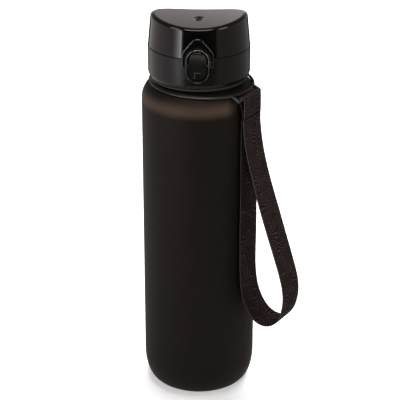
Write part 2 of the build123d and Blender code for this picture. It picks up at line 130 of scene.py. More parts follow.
# Collar: the shoulder that it sits on, its section, and the lug that holds the bar
SHOULDER_CENTRE = (0.0255, 0.2193)
COLLAR_REACH = 0.015675
COLLAR_NECK = 0.03278
COLLAR_HALF_THICKNESS = 0.000925
COLLAR_TOP, COLLAR_TOP_SLOPE = 0.2322, 0.065
COLLAR_BOTTOM, COLLAR_BOTTOM_SLOPE = 0.2303, 0.048
COLLAR_RADIUS = 0.035
COLLAR_RISE, RISE_BACK, RISE_RIGHT = 0.0022, 0.012, 0.02
LUG_SLOT = 0.0127
LUG_END = 0.0147
LUG_RELIEF = 0.00255
LUG_EDGE = 0.0005
LUG_OUTLINE = [
    (0.0341, 0.2296),
    (0.0334, 0.2311),
    (0.0372, 0.2302),
    (0.0409, 0.2285),
    (0.0418, 0.2273),
    (0.0411, 0.2261),
    (0.0393, 0.2262),
    (0.0367, 0.2279),
]

# Places that come from the frame
joints = {joint["name"]: joint for joint in frame["joints"]}
bar_place = np.array(joints["strap_swing"]["pos_m"])
lug_direction = np.array([*bar_place[:2], 0.0]) / np.hypot(*bar_place[:2])
bar_direction = np.array([-lug_direction[1], lug_direction[0], 0.0])
up = np.array([0.0, 0.0, 1.0])
bar_across, bar_height = float(np.hypot(*bar_place[:2])), float(bar_place[2])
body_radius = float(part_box("bottle_body")[1].x)


# ---------------------------------------------------------------- meshes


def grid_faces(rows, columns, wrap_rows=False, wrap_columns=False):
    """Quads of a grid of rows by columns points, numbered row by row, closed where it wraps."""
    row = np.arange(rows if wrap_rows else rows - 1)
    column = np.arange(columns if wrap_columns else columns - 1)
    first_row, first_column = np.meshgrid(row, column, indexing="ij")
    next_row, next_column = (first_row + 1) % rows, (first_column + 1) % columns
    corners = (
        first_row * columns + first_column,
        next_row * columns + first_column,
        next_row * columns + next_column,
        first_row * columns + next_column,
    )
    return np.stack(corners, axis=-1).reshape(-1, 4)


def new_piece(name, points, faces, uv=None, smooth=True):
    """Makes a mesh object at the origin from points (n, 3) and faces (m, 3 or 4), and uv by point."""
    mesh = bpy.data.meshes.new(name)
    mesh.from_pydata(points.tolist(), [], faces if isinstance(faces, list) else faces.tolist())
    if uv is not None:
        corner_point = np.empty(len(mesh.loops), np.int32)
        mesh.loops.foreach_get("vertex_index", corner_point)
        layer = mesh.uv_layers.new(name="UVMap")
        layer.data.foreach_set("uv", uv[corner_point].astype(np.float32).ravel())
    mesh.polygons.foreach_set("use_smooth", np.full(len(mesh.polygons), smooth))
    mesh.update()
    piece = bpy.data.objects.new(name, mesh)
    bpy.context.scene.collection.objects.link(piece)
    return piece


def b_spline(points, count, closed=False):
    """A cubic B-spline through the plane or space that points steer: each stretch blends four of
    them with the weights (1-u)^3, 3u^3-6u^2+4, -3u^3+3u^2+3u+1 and u^3, over six."""
    points = np.asarray(points, float)
    if closed:
        points = np.concatenate([points[-1:], points, points[:2]])
    else:
        start, end = 2 * points[0] - points[1], 2 * points[-1] - points[-2]
        points = np.concatenate([[start], points, [end]])
    spans = len(points) - 3
    along = np.linspace(0, spans, count, endpoint=not closed)
    span = np.minimum(along.astype(int), spans - 1)
    u = (along - span)[:, None]
    weights = ((1 - u) ** 3, 3 * u**3 - 6 * u**2 + 4, -3 * u**3 + 3 * u**2 + 3 * u + 1, u**3)
    return sum(w * points[span + k] for k, w in enumerate(weights)) / 6


def even_steps(points, count):
    """The same open line cut into steps of one length, and its total length."""
    step = np.linalg.norm(np.diff(points, axis=0), axis=1)
    along = np.concatenate([[0], np.cumsum(step)])
    wanted = np.linspace(0, along[-1], count)
    even = np.stack([np.interp(wanted, along, points[:, k]) for k in range(points.shape[1])], axis=1)
    return even, along[-1]


def from_radial(across, sideways, height):
    """Space points from the distance out along the lug, the distance along the bar, and the height."""
    across, sideways, height = np.broadcast_arrays(across, sideways, height)
    outward = across[..., None] * lug_direction
    return outward + sideways[..., None] * bar_direction + height[..., None] * up


# ---------------------------------------------------------------- collar


def collar_band():
    """A band round the neck. At each angle a it runs from the tilted lower plane to the tilted upper
    one, which rises behind the lug, at the radius max(neck, centre + sqrt(reach^2 - drop^2)) over the
    shoulder; its half thickness is h * sqrt(1 - t^6) for t from -1 to 1, hollowed round the bar."""
    angle = np.linspace(0, 2 * math.pi, 288, endpoint=False)[:, None]
    t = np.sin(np.linspace(-math.pi / 2, math.pi / 2, 15))[None, :]
    x, y = COLLAR_RADIUS * np.cos(angle), COLLAR_RADIUS * np.sin(angle)
    rise = COLLAR_RISE * np.clip(y / RISE_BACK, 0, 1) ** 2 * np.clip(x / RISE_RIGHT, 0, 1)
    low, high = COLLAR_BOTTOM - COLLAR_BOTTOM_SLOPE * x, COLLAR_TOP - COLLAR_TOP_SLOPE * x + rise
    height = (low + high) / 2 + t * (high - low) / 2
    drop = height - SHOULDER_CENTRE[1]
    radius = SHOULDER_CENTRE[0] + np.sqrt(COLLAR_REACH**2 - drop**2)
    on_neck = radius < COLLAR_NECK
    tilt = np.where(on_neck, 0.0, np.arcsin(drop / COLLAR_REACH))
    radius = np.maximum(radius, COLLAR_NECK)
    half = COLLAR_HALF_THICKNESS * np.sqrt(np.clip(1 - t**6, 0.0004, 1))
    sheets = []
    for side in (1, -1):
        grown = radius + side * half * np.cos(tilt)
        raised = height + side * half * np.sin(tilt)
        place = np.stack([grown * np.cos(angle), grown * np.sin(angle), raised], axis=-1)
        sheets.append(hollow_round_bar(place))
    ring = np.concatenate([sheets[0], sheets[1][:, ::-1]], axis=1)
    rows, columns = ring.shape[:2]
    return ring.reshape(-1, 3), grid_faces(rows, columns, True, True)


def hollow_round_bar(place):
    """Moves the points of the slot that are nearer to the bar than the relief out to its radius."""
    across = place @ lug_direction
    sideways = place @ bar_direction
    out, rise = across - bar_across, place[..., 2] - bar_height
    distance = np.hypot(out, rise)
    inside = (distance < LUG_RELIEF) & (np.abs(sideways) < LUG_SLOT) & (across > 0)
    grow = np.where(inside, LUG_RELIEF / np.maximum(distance, 1e-6), 1.0)
    return from_radial(bar_across + out * grow, sideways, bar_height + rise * grow)


def rounded_slab(outline, start, end, edge):
    """A slab between two distances along the bar. Its outline is a closed B-spline, and near both
    faces it shrinks by edge * (1 - sqrt(1 - u^2)), so the rims are round."""
    curve = b_spline(outline, 48, closed=True)
    centre = curve.mean(axis=0)
    u = np.sin(np.linspace(0, math.pi / 2, 5))
    levels = np.concatenate([start + edge * (1 - u[::-1]), end - edge * (1 - u)])
    shrink = edge * (1 - np.sqrt(np.clip(1 - u**2, 0, 1)))
    shrink = np.concatenate([shrink[::-1], shrink])
    reach = np.linalg.norm(curve - centre, axis=1, keepdims=True)
    rings = []
    for level, less in zip(levels, shrink):
        ring = centre + (curve - centre) * (1 - less / reach)
        rings.append(from_radial(ring[:, 0], level, ring[:, 1]))
    count = len(curve)
    poles = [from_radial(centre[0], level, centre[1]).reshape(1, 3) for level in (start, end)]
    points = np.concatenate([*rings, *poles])
    faces = grid_faces(len(rings), count, wrap_columns=True).tolist()
    last = (len(rings) - 1) * count
    for k in range(count):
        following = (k + 1) % count
        faces.append([following, k, len(points) - 2])
        faces.append([last + k, last + following, len(points) - 1])
    return points, faces


def bar_rod():
    """The lug's bar: a closed cylinder along the bar's direction."""
    sides = 32
    angle = np.linspace(0, 2 * math.pi, sides, endpoint=False)
    ends = np.array([-LUG_SLOT - 0.0004, LUG_SLOT + 0.0004])[:, None]
    out, rise = BAR_RADIUS * np.cos(angle), BAR_RADIUS * np.sin(angle)
    points = from_radial(bar_across + out, ends, bar_height + rise).reshape(-1, 3)
    faces = grid_faces(2, sides, wrap_columns=True).tolist()
    return points, faces + [list(range(sides)), list(range(2 * sides - 1, sides - 1, -1))]


def neck_collar():
    """The band, the two plates of the lug and the bar, as one piece of closed surfaces."""
    shapes = [collar_band(), bar_rod()]
    for side in (-1, 1):
        near, far = sorted((side * LUG_SLOT, side * LUG_END))
        shapes.append(rounded_slab(LUG_OUTLINE, near, far, LUG_EDGE))
    points, faces = [], []
    for block, quads in shapes:
        first = sum(len(each) for each in points)
        points.append(block)
        faces += [[corner + first for corner in quad] for quad in np.asarray(quads, object).tolist()]
    return face_outwards(new_piece("neck_collar", np.concatenate(points), faces))


# ---------------------------------------------------------------- strap


def webbing_line(thickness):
    """The middle line of the webbing, as distance out along the lug and height, and its length.
    It starts behind the tack, goes up over the bar, down through the tack, round the hand loop and
    up along the body to the tack again."""
    fold = BAR_RADIUS + thickness / 2 + 0.0002
    turn = np.radians(np.linspace(206, 0, 7))
    flare = (STRAP_FRONT - fold) * (1 + np.cos(turn)) / 2
    fold_across = bar_across + (fold + flare) * np.cos(turn)
    fold_points = np.stack([fold_across, bar_height + fold * np.sin(turn)], axis=1)
    front = bar_across + STRAP_FRONT
    back = body_radius + 0.0003 + thickness / 2
    inner = back + thickness + 0.0001
    under = np.array([(inner, 0.2080), (inner, 0.2120), (inner, 0.2165), (inner - 0.0004, 0.2205)])
    loop = np.array(LOOP_POINTS)
    down = [(front, 0.2230), (front, 0.2185), (front, SEAM_HEIGHT + 0.0010)]
    down += [(front - SEAM_STEP, SEAM_HEIGHT - height) for height in (0.0008, 0.0030, 0.0080)]
    up_body = np.array([(back, z) for z in np.linspace(0.094, 0.2135, 10)])
    steer = np.concatenate([under, fold_points, np.array(down), loop, up_body])
    return even_steps(b_spline(steer, 3000), STRAP_ROWS)


def wave_figure(along, across):
    """Height of the raised figure, 0 to 1: stripes that run along the strap and bend round a few
    drifting centres, sin(k * (distance to the nearest centre)), like ripples that meet."""
    place = along / WAVE_CELL
    index = np.floor(place)
    nearest = np.full(along.shape, 9.0)
    for step in (-1, 0, 1):
        number = index + step
        centre_along = (number + 0.5 + 0.3 * np.sin(number * 2.4)) * WAVE_CELL
        centre_across = 0.010 * np.sin(number * 1.9 + 0.7)
        distance = np.hypot((along - centre_along) * 0.8, across - centre_across)
        nearest = np.minimum(nearest, distance + 0.0006 * np.sin(number * 5.1))
    bend = 0.0009 * np.sin(along * 330.0 + across * 420.0)
    return 0.5 + 0.5 * np.sin((nearest + bend) * 2 * math.pi / WAVE_PITCH)


def webbing(line, length, settings):
    """A band carried along its middle line. Across the band, t runs from -1 to 1 and the half
    thickness is h * (1 - t^16), a little fuller in the two selvedges; the figure is raised on it."""
    half_width, half_thickness = settings.width / 2, settings.thickness / 2
    tangent = np.gradient(line, axis=0)
    tangent /= np.linalg.norm(tangent, axis=1, keepdims=True)
    normal = np.stack([tangent[:, 1], -tangent[:, 0]], axis=1)
    t = np.linspace(-1, 1, STRAP_COLUMNS)
    t = np.sign(t) * (1 - (1 - np.abs(t)) ** 1.15)
    along = np.linspace(0, length, len(line))
    grid_along, grid_t = np.meshgrid(along, t, indexing="ij")
    figure = wave_figure(grid_along, grid_t * half_width) * (np.abs(grid_t) < 0.88)
    selvedge = np.exp(-(((np.abs(grid_t) - 0.955) / 0.025) ** 2))
    flat = 1 - grid_t**16
    swell = half_thickness * flat * (1 + 0.16 * selvedge) + WAVE_HEIGHT * figure * flat
    taper = np.clip(np.minimum(grid_along, length - grid_along) / 0.0008, 0.05, 1)
    swell = np.maximum(swell * np.sqrt(taper) - 0.00006, 0.00002)
    ripple = 0.00012 * np.sin(grid_along * 95.0) * grid_t
    sheets = []
    for side in (1, -1):
        across = line[:, None, 0] + normal[:, None, 0] * (side * swell + ripple)
        height = line[:, None, 1] + normal[:, None, 1] * (side * swell + ripple)
        sheets.append(from_radial(across, grid_t * half_width, height))
    ring = np.concatenate([sheets[0], sheets[1][:, ::-1]], axis=1)
    rows, columns = ring.shape[:2]
    faces = grid_faces(rows, columns, wrap_columns=True)
    points = ring.reshape(-1, 3)
    half = columns // 2
    ends = []
    for row, flip in ((0, False), (rows - 1, True)):
        k = row * columns + np.arange(columns)
        quads = np.stack([k[: half - 1], k[1:half], k[::-1][1:half], k[::-1][: half - 1]], axis=1)
        ends.append(quads[:, ::-1] if flip else quads)
    faces = np.concatenate([faces, *ends])
    side_uv = np.stack([grid_along, grid_t * half_width], axis=-1)
    uv = np.concatenate([side_uv, side_uv[:, ::-1]], axis=1).reshape(-1, 2)
    piece = face_outwards(new_piece("carry_strap", points, faces, uv=uv))
    front = np.arange(len(line))[line[:, 0] > bar_across + STRAP_FRONT - 2 * SEAM_STEP]
    seam_row = front[np.argmin(np.abs(line[front, 1] - SEAM_HEIGHT))]
    # painted shadow: a dark line across the strap under the edge of the folded flap
    seam = np.exp(-(((grid_along - along[seam_row]) / SEAM_SHADOW_SOFTNESS) ** 2))
    for name, value in (("figure", figure), ("seam", seam)):
        level = np.concatenate([value, value[:, ::-1]], axis=1).ravel()
        attribute = piece.data.attributes.new(name, "FLOAT", "POINT")
        attribute.data.foreach_set("value", level.astype(np.float32))
    return piece


def face_outwards(piece):
    """Recalculates the normals of a closed mesh so that its faces point outwards."""
    mesh = bmesh.new()
    mesh.from_mesh(piece.data)
    bmesh.ops.recalc_face_normals(mesh, faces=mesh.faces)
    mesh.to_mesh(piece.data)
    mesh.free()
    return piece


def tack_stitches(settings):
    """Rows of short stitches across the strap under the bar. Each stitch is a squashed capsule:
    a ring of radius r * sqrt(1 - s^2) at s along it, arched out of the cloth by 1 - s^2."""
    sides = 8
    s = np.linspace(-1, 1, 7)[:, None]
    angle = np.linspace(0, 2 * math.pi, sides, endpoint=False)[None, :]
    radius = STITCH_RADIUS * np.sqrt(np.clip(1 - s**4, 0.02, 1))
    sideways = STITCH_LENGTH / 2 * s + 0 * angle
    out = radius * np.cos(angle) * 0.8 + 0.00022 * (1 - s**2)
    rise = radius * np.sin(angle)
    face = bar_across + STRAP_FRONT + settings.thickness / 2 + 0.00012
    pitch = STITCH_LENGTH * 1.18
    count = int((settings.width - 0.003) / pitch)
    centres = [pitch * (k - (count - 1) / 2) for k in range(count)]
    places = [(centre, height, proud) for height, proud in TACK_ROWS for centre in centres]
    points, faces = [], []
    one = grid_faces(len(s), sides, wrap_columns=True).tolist()
    last = (len(s) - 1) * sides
    one += [list(range(sides - 1, -1, -1)), list(range(last, last + sides))]
    for number, (centre, height, proud) in enumerate(places):
        block = from_radial(face + proud + out, centre + sideways, height + rise)
        faces += [[corner + number * s.size * sides for corner in polygon] for polygon in one]
        points.append(block.reshape(-1, 3))
    return face_outwards(new_piece("strap_stitches", np.concatenate(points), faces))


# ---------------------------------------------------------------- materials


class Socket:
    """A shader value that Python's own operators work on; each operator adds one Math node."""

    def __init__(self, finish, output):
        self.finish = finish
        self.output = output

    def math(self, operation, *others):
        return self.finish.add("ShaderNodeMath", {"operation": operation}, (self, *others))

    def __add__(self, other):
        return self.math("ADD", other)

    __radd__ = __add__

    def __sub__(self, other):
        return self.math("SUBTRACT", other)

    def __rsub__(self, other):
        return self.finish.add("ShaderNodeMath", {"operation": "SUBTRACT"}, (other, self))

    def __mul__(self, other):
        return self.math("MULTIPLY", other)

    __rmul__ = __mul__

    def __truediv__(self, other):
        return self.math("DIVIDE", other)

    def __rtruediv__(self, other):
        return self.finish.add("ShaderNodeMath", {"operation": "DIVIDE"}, (other, self))

    def __pow__(self, other):
        return self.math("POWER", other)

    def sine(self):
        return self.math("SINE")

    def absolute(self):
        return self.math("ABSOLUTE")

    def above(self, level):
        return self.math("GREATER_THAN", level)

    def below(self, level):
        return self.math("LESS_THAN", level)

    def step(self, low, high):
        """0 under low, 1 over high, and smooth between them."""
        return self.finish.add(
            "ShaderNodeMapRange",
            {"interpolation_type": "SMOOTHSTEP"},
            {"Value": self, "From Min": low, "From Max": high},
        )


class NodeTree:
    """The nodes of one material or world."""

    def __init__(self, tree):
        self.tree = tree

    def add(self, kind, settings=None, inputs=(), output=0):
        """Adds one node: its settings first, then the values or links of its sockets."""
        node = self.tree.nodes.new(kind)
        for key, value in (settings or {}).items():
            if key == "stops":
                ramp = node.color_ramp
                while len(ramp.elements) < len(value):
                    ramp.elements.new(1.0)
                for element, (place, colour) in zip(ramp.elements, value):
                    element.position = place
                    element.color = (*colour, 1.0)
            else:
                setattr(node, key, value)
        pairs = inputs.items() if isinstance(inputs, dict) else enumerate(inputs)
        for key, value in pairs:
            self.feed(node.inputs[key], value)
        return Socket(self, node.outputs[output])

    def feed(self, socket, value):
        """Links a Socket, or sets a plain value."""
        if isinstance(value, Socket):
            self.tree.links.new(value.output, socket)
        elif isinstance(value, tuple) and socket.type == "RGBA":
            socket.default_value = (*value, 1.0)
        else:
            socket.default_value = value

    def parts(self, vector):
        """The three numbers of a vector, as Sockets."""
        node = self.tree.nodes.new("ShaderNodeSeparateXYZ")
        self.feed(node.inputs[0], vector)
        return [Socket(self, output) for output in node.outputs]


class Finish(NodeTree):
    """One material: its Principled shader with its constants, and the nodes that feed it."""

    def __init__(self, name, **constants):
        self.material = bpy.data.materials.new(name)
        self.material.use_nodes = True
        super().__init__(self.material.node_tree)
        self.shader = self.tree.nodes["Principled BSDF"]
        self.link(**constants)

    def link(self, **inputs):
        """Feeds the Principled shader's sockets: a Socket is linked, and a plain value is set."""
        for name, value in inputs.items():
            self.feed(self.shader.inputs[name.replace("_", " ")], value)
        return self

    def place(self):
        """Object coordinates in metres, as three Sockets."""
        return self.parts(self.object_vector())

    def object_vector(self):
        return self.add("ShaderNodeTexCoord", output="Object")

    def uv(self):
        """The piece's own UV map, as two Sockets."""
        return self.parts(self.add("ShaderNodeUVMap", {"uv_map": "UVMap"}))[:2]

    def noise(self, scale, detail=2.0, roughness=0.5, vector=None):
        where = vector or self.object_vector()
        inputs = {"Vector": where, "Scale": scale, "Detail": detail, "Roughness": roughness}
        return self.add("ShaderNodeTexNoise", {}, inputs, output="Fac")

    def mix(self, factor, first, second):
        """A blend of two colours."""
        node = self.tree.nodes.new("ShaderNodeMix")
        node.data_type = "RGBA"
        for name, value in (("Factor", factor), ("A", first), ("B", second)):
            kind = "VALUE" if name == "Factor" else "RGBA"
            socket = next(s for s in node.inputs if s.name == name and s.type == kind)
            self.feed(socket, value)
        return Socket(self, next(s for s in node.outputs if s.type == "RGBA"))

    def bump(self, height, distance, strength=1.0):
        inputs = {"Height": height, "Distance": distance, "Strength": strength}
        return self.add("ShaderNodeBump", {}, inputs, output="Normal")


def paint(finish, *nodes):
    """Puts a finish in the material slots of CAD nodes, and leaves their meshes alone."""
    for node in nodes:
        for slot in frame["nodes"][node].material_slots:
            slot.material = finish.material


def give(piece, finish):
    piece.data.materials.clear()
    piece.data.materials.append(finish.material)


def frosted_plastic(settings):
    """Smoky translucent plastic with a fine matt frosting. Light shining in at the neck is painted into
    its colour as a browner glow on the shoulder, fading out on the right; the neck above is painted
    darker as shade under the cap, with a painted highlight on its bead, and the body below keeps its
    darker colour."""
    tint = (1.0, 0.84, 0.78)
    finish = Finish("frosted_plastic", IOR=1.45, Specular_IOR_Level=0.14, Specular_Tint=tint)
    x, _, height = finish.place()
    # painted glow: light shining through the shoulder, put into the colour as a browner band
    painted_glow = height.step(*GLOW_START) * (1 - height.step(*GLOW_END)) * (1 - x.step(*GLOW_RIGHT))
    cloud = finish.noise(14.0, 2.0)
    grain = finish.noise(2600.0, 3.0, 0.6)
    body, lit = tuple(settings.body_colour), tuple(settings.painted_glow_colour)
    shade = finish.mix(painted_glow * (0.75 + 0.5 * cloud), body, lit)
    # painted highlight on the bead, and painted shade on the neck under the cap
    bead_highlight = height.step(*BEAD_HIGHLIGHT_START) * (1 - height.step(*BEAD_HIGHLIGHT_END))
    neck = finish.mix(bead_highlight, NECK_SHADE_COLOUR, BEAD_HIGHLIGHT_COLOUR)
    shade = finish.mix(height.step(*NECK_SHADE_START), shade, neck)
    speck = finish.mix(grain.step(0.35, 0.7) * 0.2, shade, SPECK_COLOUR)
    return finish.link(
        Base_Color=speck,
        Roughness=0.47 + 0.1 * grain + 0.04 * cloud,
        Normal=finish.bump(grain, 0.00004, 0.35),
    )


def gloss_plastic(name, colour, roughness, wear, level=0.30, dimple_slope=0.0):
    """Moulded gloss plastic: fine handling haze, a faint ripple of the mould, and a bump that leans
    the floor of the lid's dimple back by dimple_slope, where that isn't nought."""
    finish = Finish(name, IOR=1.5, Specular_IOR_Level=level, Specular_Tint=(1.0, 0.95, 0.93))
    haze = finish.noise(60.0, 4.0, 0.65)
    ripple = finish.noise(180.0, 1.0)
    scratch_where = finish.add(
        "ShaderNodeMapping", {}, {"Vector": finish.object_vector(), "Scale": (900.0, 900.0, 60.0)}
    )
    scratch = finish.noise(1.0, 2.0, 0.5, scratch_where)
    relief = ripple * 0.000003
    if dimple_slope:
        x, y, _ = finish.place()
        reach = (x / DIMPLE[0]) ** 2.0 + (y / DIMPLE[1]) ** 2.0
        relief = relief - y * dimple_slope * (1 - reach.step(0.4, 0.75))
    lighter = tuple(1.25 * channel for channel in colour)
    return finish.link(
        Base_Color=finish.mix(haze, colour, lighter),
        Roughness=roughness + wear * haze.step(0.45, 0.75) + 0.03 * scratch.step(0.6, 0.8),
        Normal=finish.bump(relief, 1.0),
    )


def dark_chrome():
    """Smoked plated trim with a fine haze, and a highlight painted into its colour towards its top."""
    finish = Finish("dark_chrome", Metallic=1.0)
    haze = finish.noise(300.0, 3.0, 0.6)
    _, _, height = finish.place()
    # painted highlight towards the top of the bezel
    painted_highlight = height.step(*BEZEL_HIGHLIGHT) * (0.7 + 0.6 * haze)
    return finish.link(
        Base_Color=finish.mix(painted_highlight, (0.07, 0.068, 0.065), (0.23, 0.225, 0.21)),
        Roughness=0.16 + 0.1 * haze,
    )


def button_plastic():
    """Dark gloss plastic whose square mark has a frame with a highlight painted along its top and left.
    """
    finish = Finish("button_plastic", IOR=1.5, Specular_IOR_Level=0.7)
    x, _, height = finish.place()
    rise = height - MARK_HEIGHT
    reach = x.absolute().math("MAXIMUM", rise.absolute())
    # painted highlight along the top and left of the mark's frame
    painted_frame_highlight = reach.above(MARK_FRAME[0]) * reach.below(MARK_FRAME[1]) * (rise - x).above(0.0)
    haze = finish.noise(260.0, 3.0, 0.6)
    plain = finish.mix(haze, (0.006, 0.006, 0.0055), (0.014, 0.014, 0.013))
    return finish.link(
        Base_Color=finish.mix(painted_frame_highlight * (0.4 + 0.6 * haze), plain, (0.09, 0.088, 0.083)),
        Roughness=0.14 + 0.08 * haze,
    )


def satin_plastic(name, colour, roughness=0.38):
    """Fine spark-eroded satin plastic."""
    finish = Finish(name, IOR=1.48)
    grain = finish.noise(2200.0, 3.0, 0.6)
    cloud = finish.noise(45.0, 2.0)
    lighter = tuple(1.4 * channel for channel in colour)
    return finish.link(
        Base_Color=finish.mix(grain * 0.5 + cloud * 0.3, colour, lighter),
        Roughness=roughness + 0.1 * grain,
        Normal=finish.bump(grain, 0.00003, 0.4),
    )


def soft_rubber(name, colour, roughness=0.45, level=0.25):
    """Soft moulded rubber or silicone with a dusty bloom."""
    finish = Finish(name, IOR=1.43, Specular_IOR_Level=level)
    grain = finish.noise(1500.0, 3.0, 0.6)
    bloom = finish.noise(70.0, 4.0, 0.6)
    dusty = tuple(channel * 1.5 + 0.01 for channel in colour)
    return finish.link(
        Base_Color=finish.mix(bloom.step(0.4, 0.75), colour, dusty),
        Roughness=roughness + 0.15 * bloom,
        Normal=finish.bump(grain, 0.00003, 0.3),
    )


def webbing_cloth(settings):
    """Narrow woven webbing: rows of ground yarn with painted shade in the weave's low places, raised
    figure yarns that catch more light, smooth selvedges, and a painted shadow line across it under
    the edge of the folded flap. The pattern follows the strap by its own UV map, in metres."""
    finish = Finish("webbing_cloth", IOR=1.45, Specular_IOR_Level=0.12, Specular_Tint=(1.0, 0.8, 0.76))
    along, across = finish.uv()
    weft = (along * (2 * math.pi / WEFT_PITCH)).sine()
    warp = (across * (2 * math.pi / WARP_PITCH)).sine()
    weave = 0.5 + 0.5 * weft * warp
    sideways = across.absolute() / settings.width
    edge = sideways.above(0.442)
    rim = sideways.step(0.452, 0.466) * (1 - sideways.step(0.476, 0.488))
    figure = finish.add("ShaderNodeAttribute", {"attribute_name": "figure"}, output="Fac")
    seam = finish.add("ShaderNodeAttribute", {"attribute_name": "seam"}, output="Fac")
    worn = finish.noise(1000.0, 3.0, 0.6)
    lit = figure.step(0.45, 0.9) * (0.25 + 0.75 * worn.step(0.42, 0.6)) * (0.45 + 0.55 * weave)
    cloth = finish.mix(lit, tuple(settings.ground_colour), tuple(settings.figure_colour))
    darker = tuple(0.55 * channel for channel in settings.ground_colour)
    # painted shade in the weave's low places
    shaded = finish.mix((1 - weave) * 0.6, cloth, darker)
    edged = finish.mix(edge * 0.8, shaded, darker)
    bordered = finish.mix(rim * 0.8, edged, tuple(settings.rim_colour))
    return finish.link(
        # the seam mask paints a near-black shadow line under the edge of the folded flap
        Base_Color=finish.mix(seam, bordered, (0.001, 0.001, 0.001)),
        Roughness=0.72 - 0.18 * lit,
        Normal=finish.bump(weave * (1 - 0.5 * edge), 0.00010, 0.6),
    )


def sewing_thread():
    """Dark twisted thread: slanting plies and a slight lustre."""
    finish = Finish("sewing_thread", IOR=1.45)
    x, y, z = finish.place()
    ply = ((x + y) * 9000.0 + z * 14000.0).sine()
    return finish.link(
        Base_Color=finish.mix(0.5 + 0.5 * ply, (0.004, 0.003, 0.003), (0.02, 0.016, 0.016)),
        Roughness=0.5 + 0.1 * ply,
        Normal=finish.bump(ply, 0.00004, 0.5),
    )


def drawn_steel(name, roughness=0.24, shade=1.0):
    """Drawn wire or a ground pin: fine lines along X, bright metal, or darker if it is blackened."""
    finish = Finish(name, Metallic=1.0)
    stretched = finish.add(
        "ShaderNodeMapping", {}, {"Vector": finish.object_vector(), "Scale": (120.0, 4200.0, 4200.0)}
    )
    lines = finish.noise(1.0, 3.0, 0.6, stretched)
    dark, light = (tuple(shade * channel for channel in colour) for colour in (STEEL_DARK, STEEL_LIGHT))
    return finish.link(
        Base_Color=finish.mix(lines, dark, light),
        Roughness=roughness + 0.15 * lines,
        Normal=finish.bump(lines, 0.00001, 0.3),
    )


# ---------------------------------------------------------------- settings


class BottleSettings(bpy.types.PropertyGroup):
    """Colours of the bottle's finishes."""

    body_colour: bpy.props.FloatVectorProperty(
        name="Body colour", description="Smoky plastic of the body", subtype="COLOR", size=3,
        min=0, max=1, default=(0.0060, 0.0042, 0.0034),
    )
    # The shoulder colour is painted light: the glow of light shining through the shoulder
    painted_glow_colour: bpy.props.FloatVectorProperty(
        name="Shoulder colour", description="Browner plastic where light enters the shoulder",
        subtype="COLOR", size=3, min=0, max=1, default=(0.068, 0.044, 0.029),
    )
    cap_colour: bpy.props.FloatVectorProperty(
        name="Cap colour", description="Gloss plastic of the cap and lid", subtype="COLOR", size=3,
        min=0, max=1, default=(0.0035, 0.0032, 0.0030),
    )


class StrapSettings(bpy.types.PropertyGroup):
    """Sizes and colours of the carry strap."""

    width: bpy.props.FloatProperty(
        name="Width", description="Width of the webbing", unit="LENGTH", default=0.0235,
        min=0.01, max=0.04,
    )
    thickness: bpy.props.FloatProperty(
        name="Thickness", description="Thickness of the webbing", unit="LENGTH", default=0.00095,
        min=0.0004, max=0.003,
    )
    ground_colour: bpy.props.FloatVectorProperty(
        name="Ground colour", description="Yarn of the ground weave", subtype="COLOR", size=3,
        min=0, max=1, default=(0.0052, 0.0030, 0.0032),
    )
    figure_colour: bpy.props.FloatVectorProperty(
        name="Figure colour", description="Yarn of the raised waves", subtype="COLOR", size=3,
        min=0, max=1, default=(0.115, 0.072, 0.068),
    )
    rim_colour: bpy.props.FloatVectorProperty(
        name="Selvedge colour", description="Edge yarn of the selvedges", subtype="COLOR", size=3,
        min=0, max=1, default=(0.085, 0.078, 0.073),
    )


class StudioSettings(bpy.types.PropertyGroup):
    """Camera and lights."""

    pitch: bpy.props.FloatProperty(
        name="Pitch", description="How far the camera looks down", subtype="ANGLE",
        default=math.radians(24.5),
    )
    azimuth: bpy.props.FloatProperty(
        name="Azimuth", description="Camera's turn from the front", subtype="ANGLE",
        default=math.radians(1.5),
    )
    distance: bpy.props.FloatProperty(
        name="Distance", description="From the camera to the bottle's axis", unit="LENGTH",
        default=1.153,
    )
    aim_height: bpy.props.FloatProperty(
        name="Aim height", description="Height that the camera looks at", unit="LENGTH", default=0.1396,
    )
    aim_shift: bpy.props.FloatProperty(
        name="Aim shift", description="How far right of the axis the camera looks", unit="LENGTH",
        default=0.00065,
    )
    lens: bpy.props.FloatProperty(
        name="Lens", description="Focal length", unit="CAMERA", default=144.8,
    )


# ---------------------------------------------------------------- operators


class BOTTLE_OT_shell(bpy.types.Operator):
    """Gives the bottle's shell its frosted smoky plastic"""

    bl_idname = "bottle.shell"
    bl_label = "Bottle shell"

    def execute(self, context):
        paint(frosted_plastic(context.scene.bottle_finish), "bottle_body")
        return {"FINISHED"}


class BOTTLE_OT_cap(bpy.types.Operator):
    """Gives the cap, the lid, the latch and what they hold their plastics, rubbers and metals"""

    bl_idname = "bottle.cap"
    bl_label = "Cap and lid"

    def execute(self, context):
        colour = tuple(context.scene.bottle_finish.cap_colour)
        paint(gloss_plastic("lid_gloss", colour, 0.05, 0.03, dimple_slope=DIMPLE_SLOPE), "lid_shell")
        paint(gloss_plastic("cap_gloss", colour, 0.26, 0.06, 0.28), "cap_shell")
        paint(dark_chrome(), "button_bezel")
        paint(button_plastic(), "push_button")
        paint(gloss_plastic("bail_gloss", (0.003, 0.003, 0.003), 0.10, 0.05, 0.9), "lock_bail")
        liner = satin_plastic("liner_satin", (0.012, 0.012, 0.012))
        paint(liner, "inner_cap", "lid_liner", "lid_catch")
        paint(satin_plastic("spout_satin", (0.02, 0.02, 0.021), 0.3), "drinking_spout")
        paint(
            soft_rubber("grey_silicone", (0.12, 0.12, 0.12)),
            "neck_gasket", "spout_washer", "vent_valve", "spout_seal",
        )
        paint(drawn_steel("pin_steel"), "hinge_pin")
        paint(drawn_steel("blackened_steel", 0.35, 0.06), "bail_pins")
        paint(drawn_steel("spring_steel", 0.2), "button_springs", "hinge_spring")
        return {"FINISHED"}


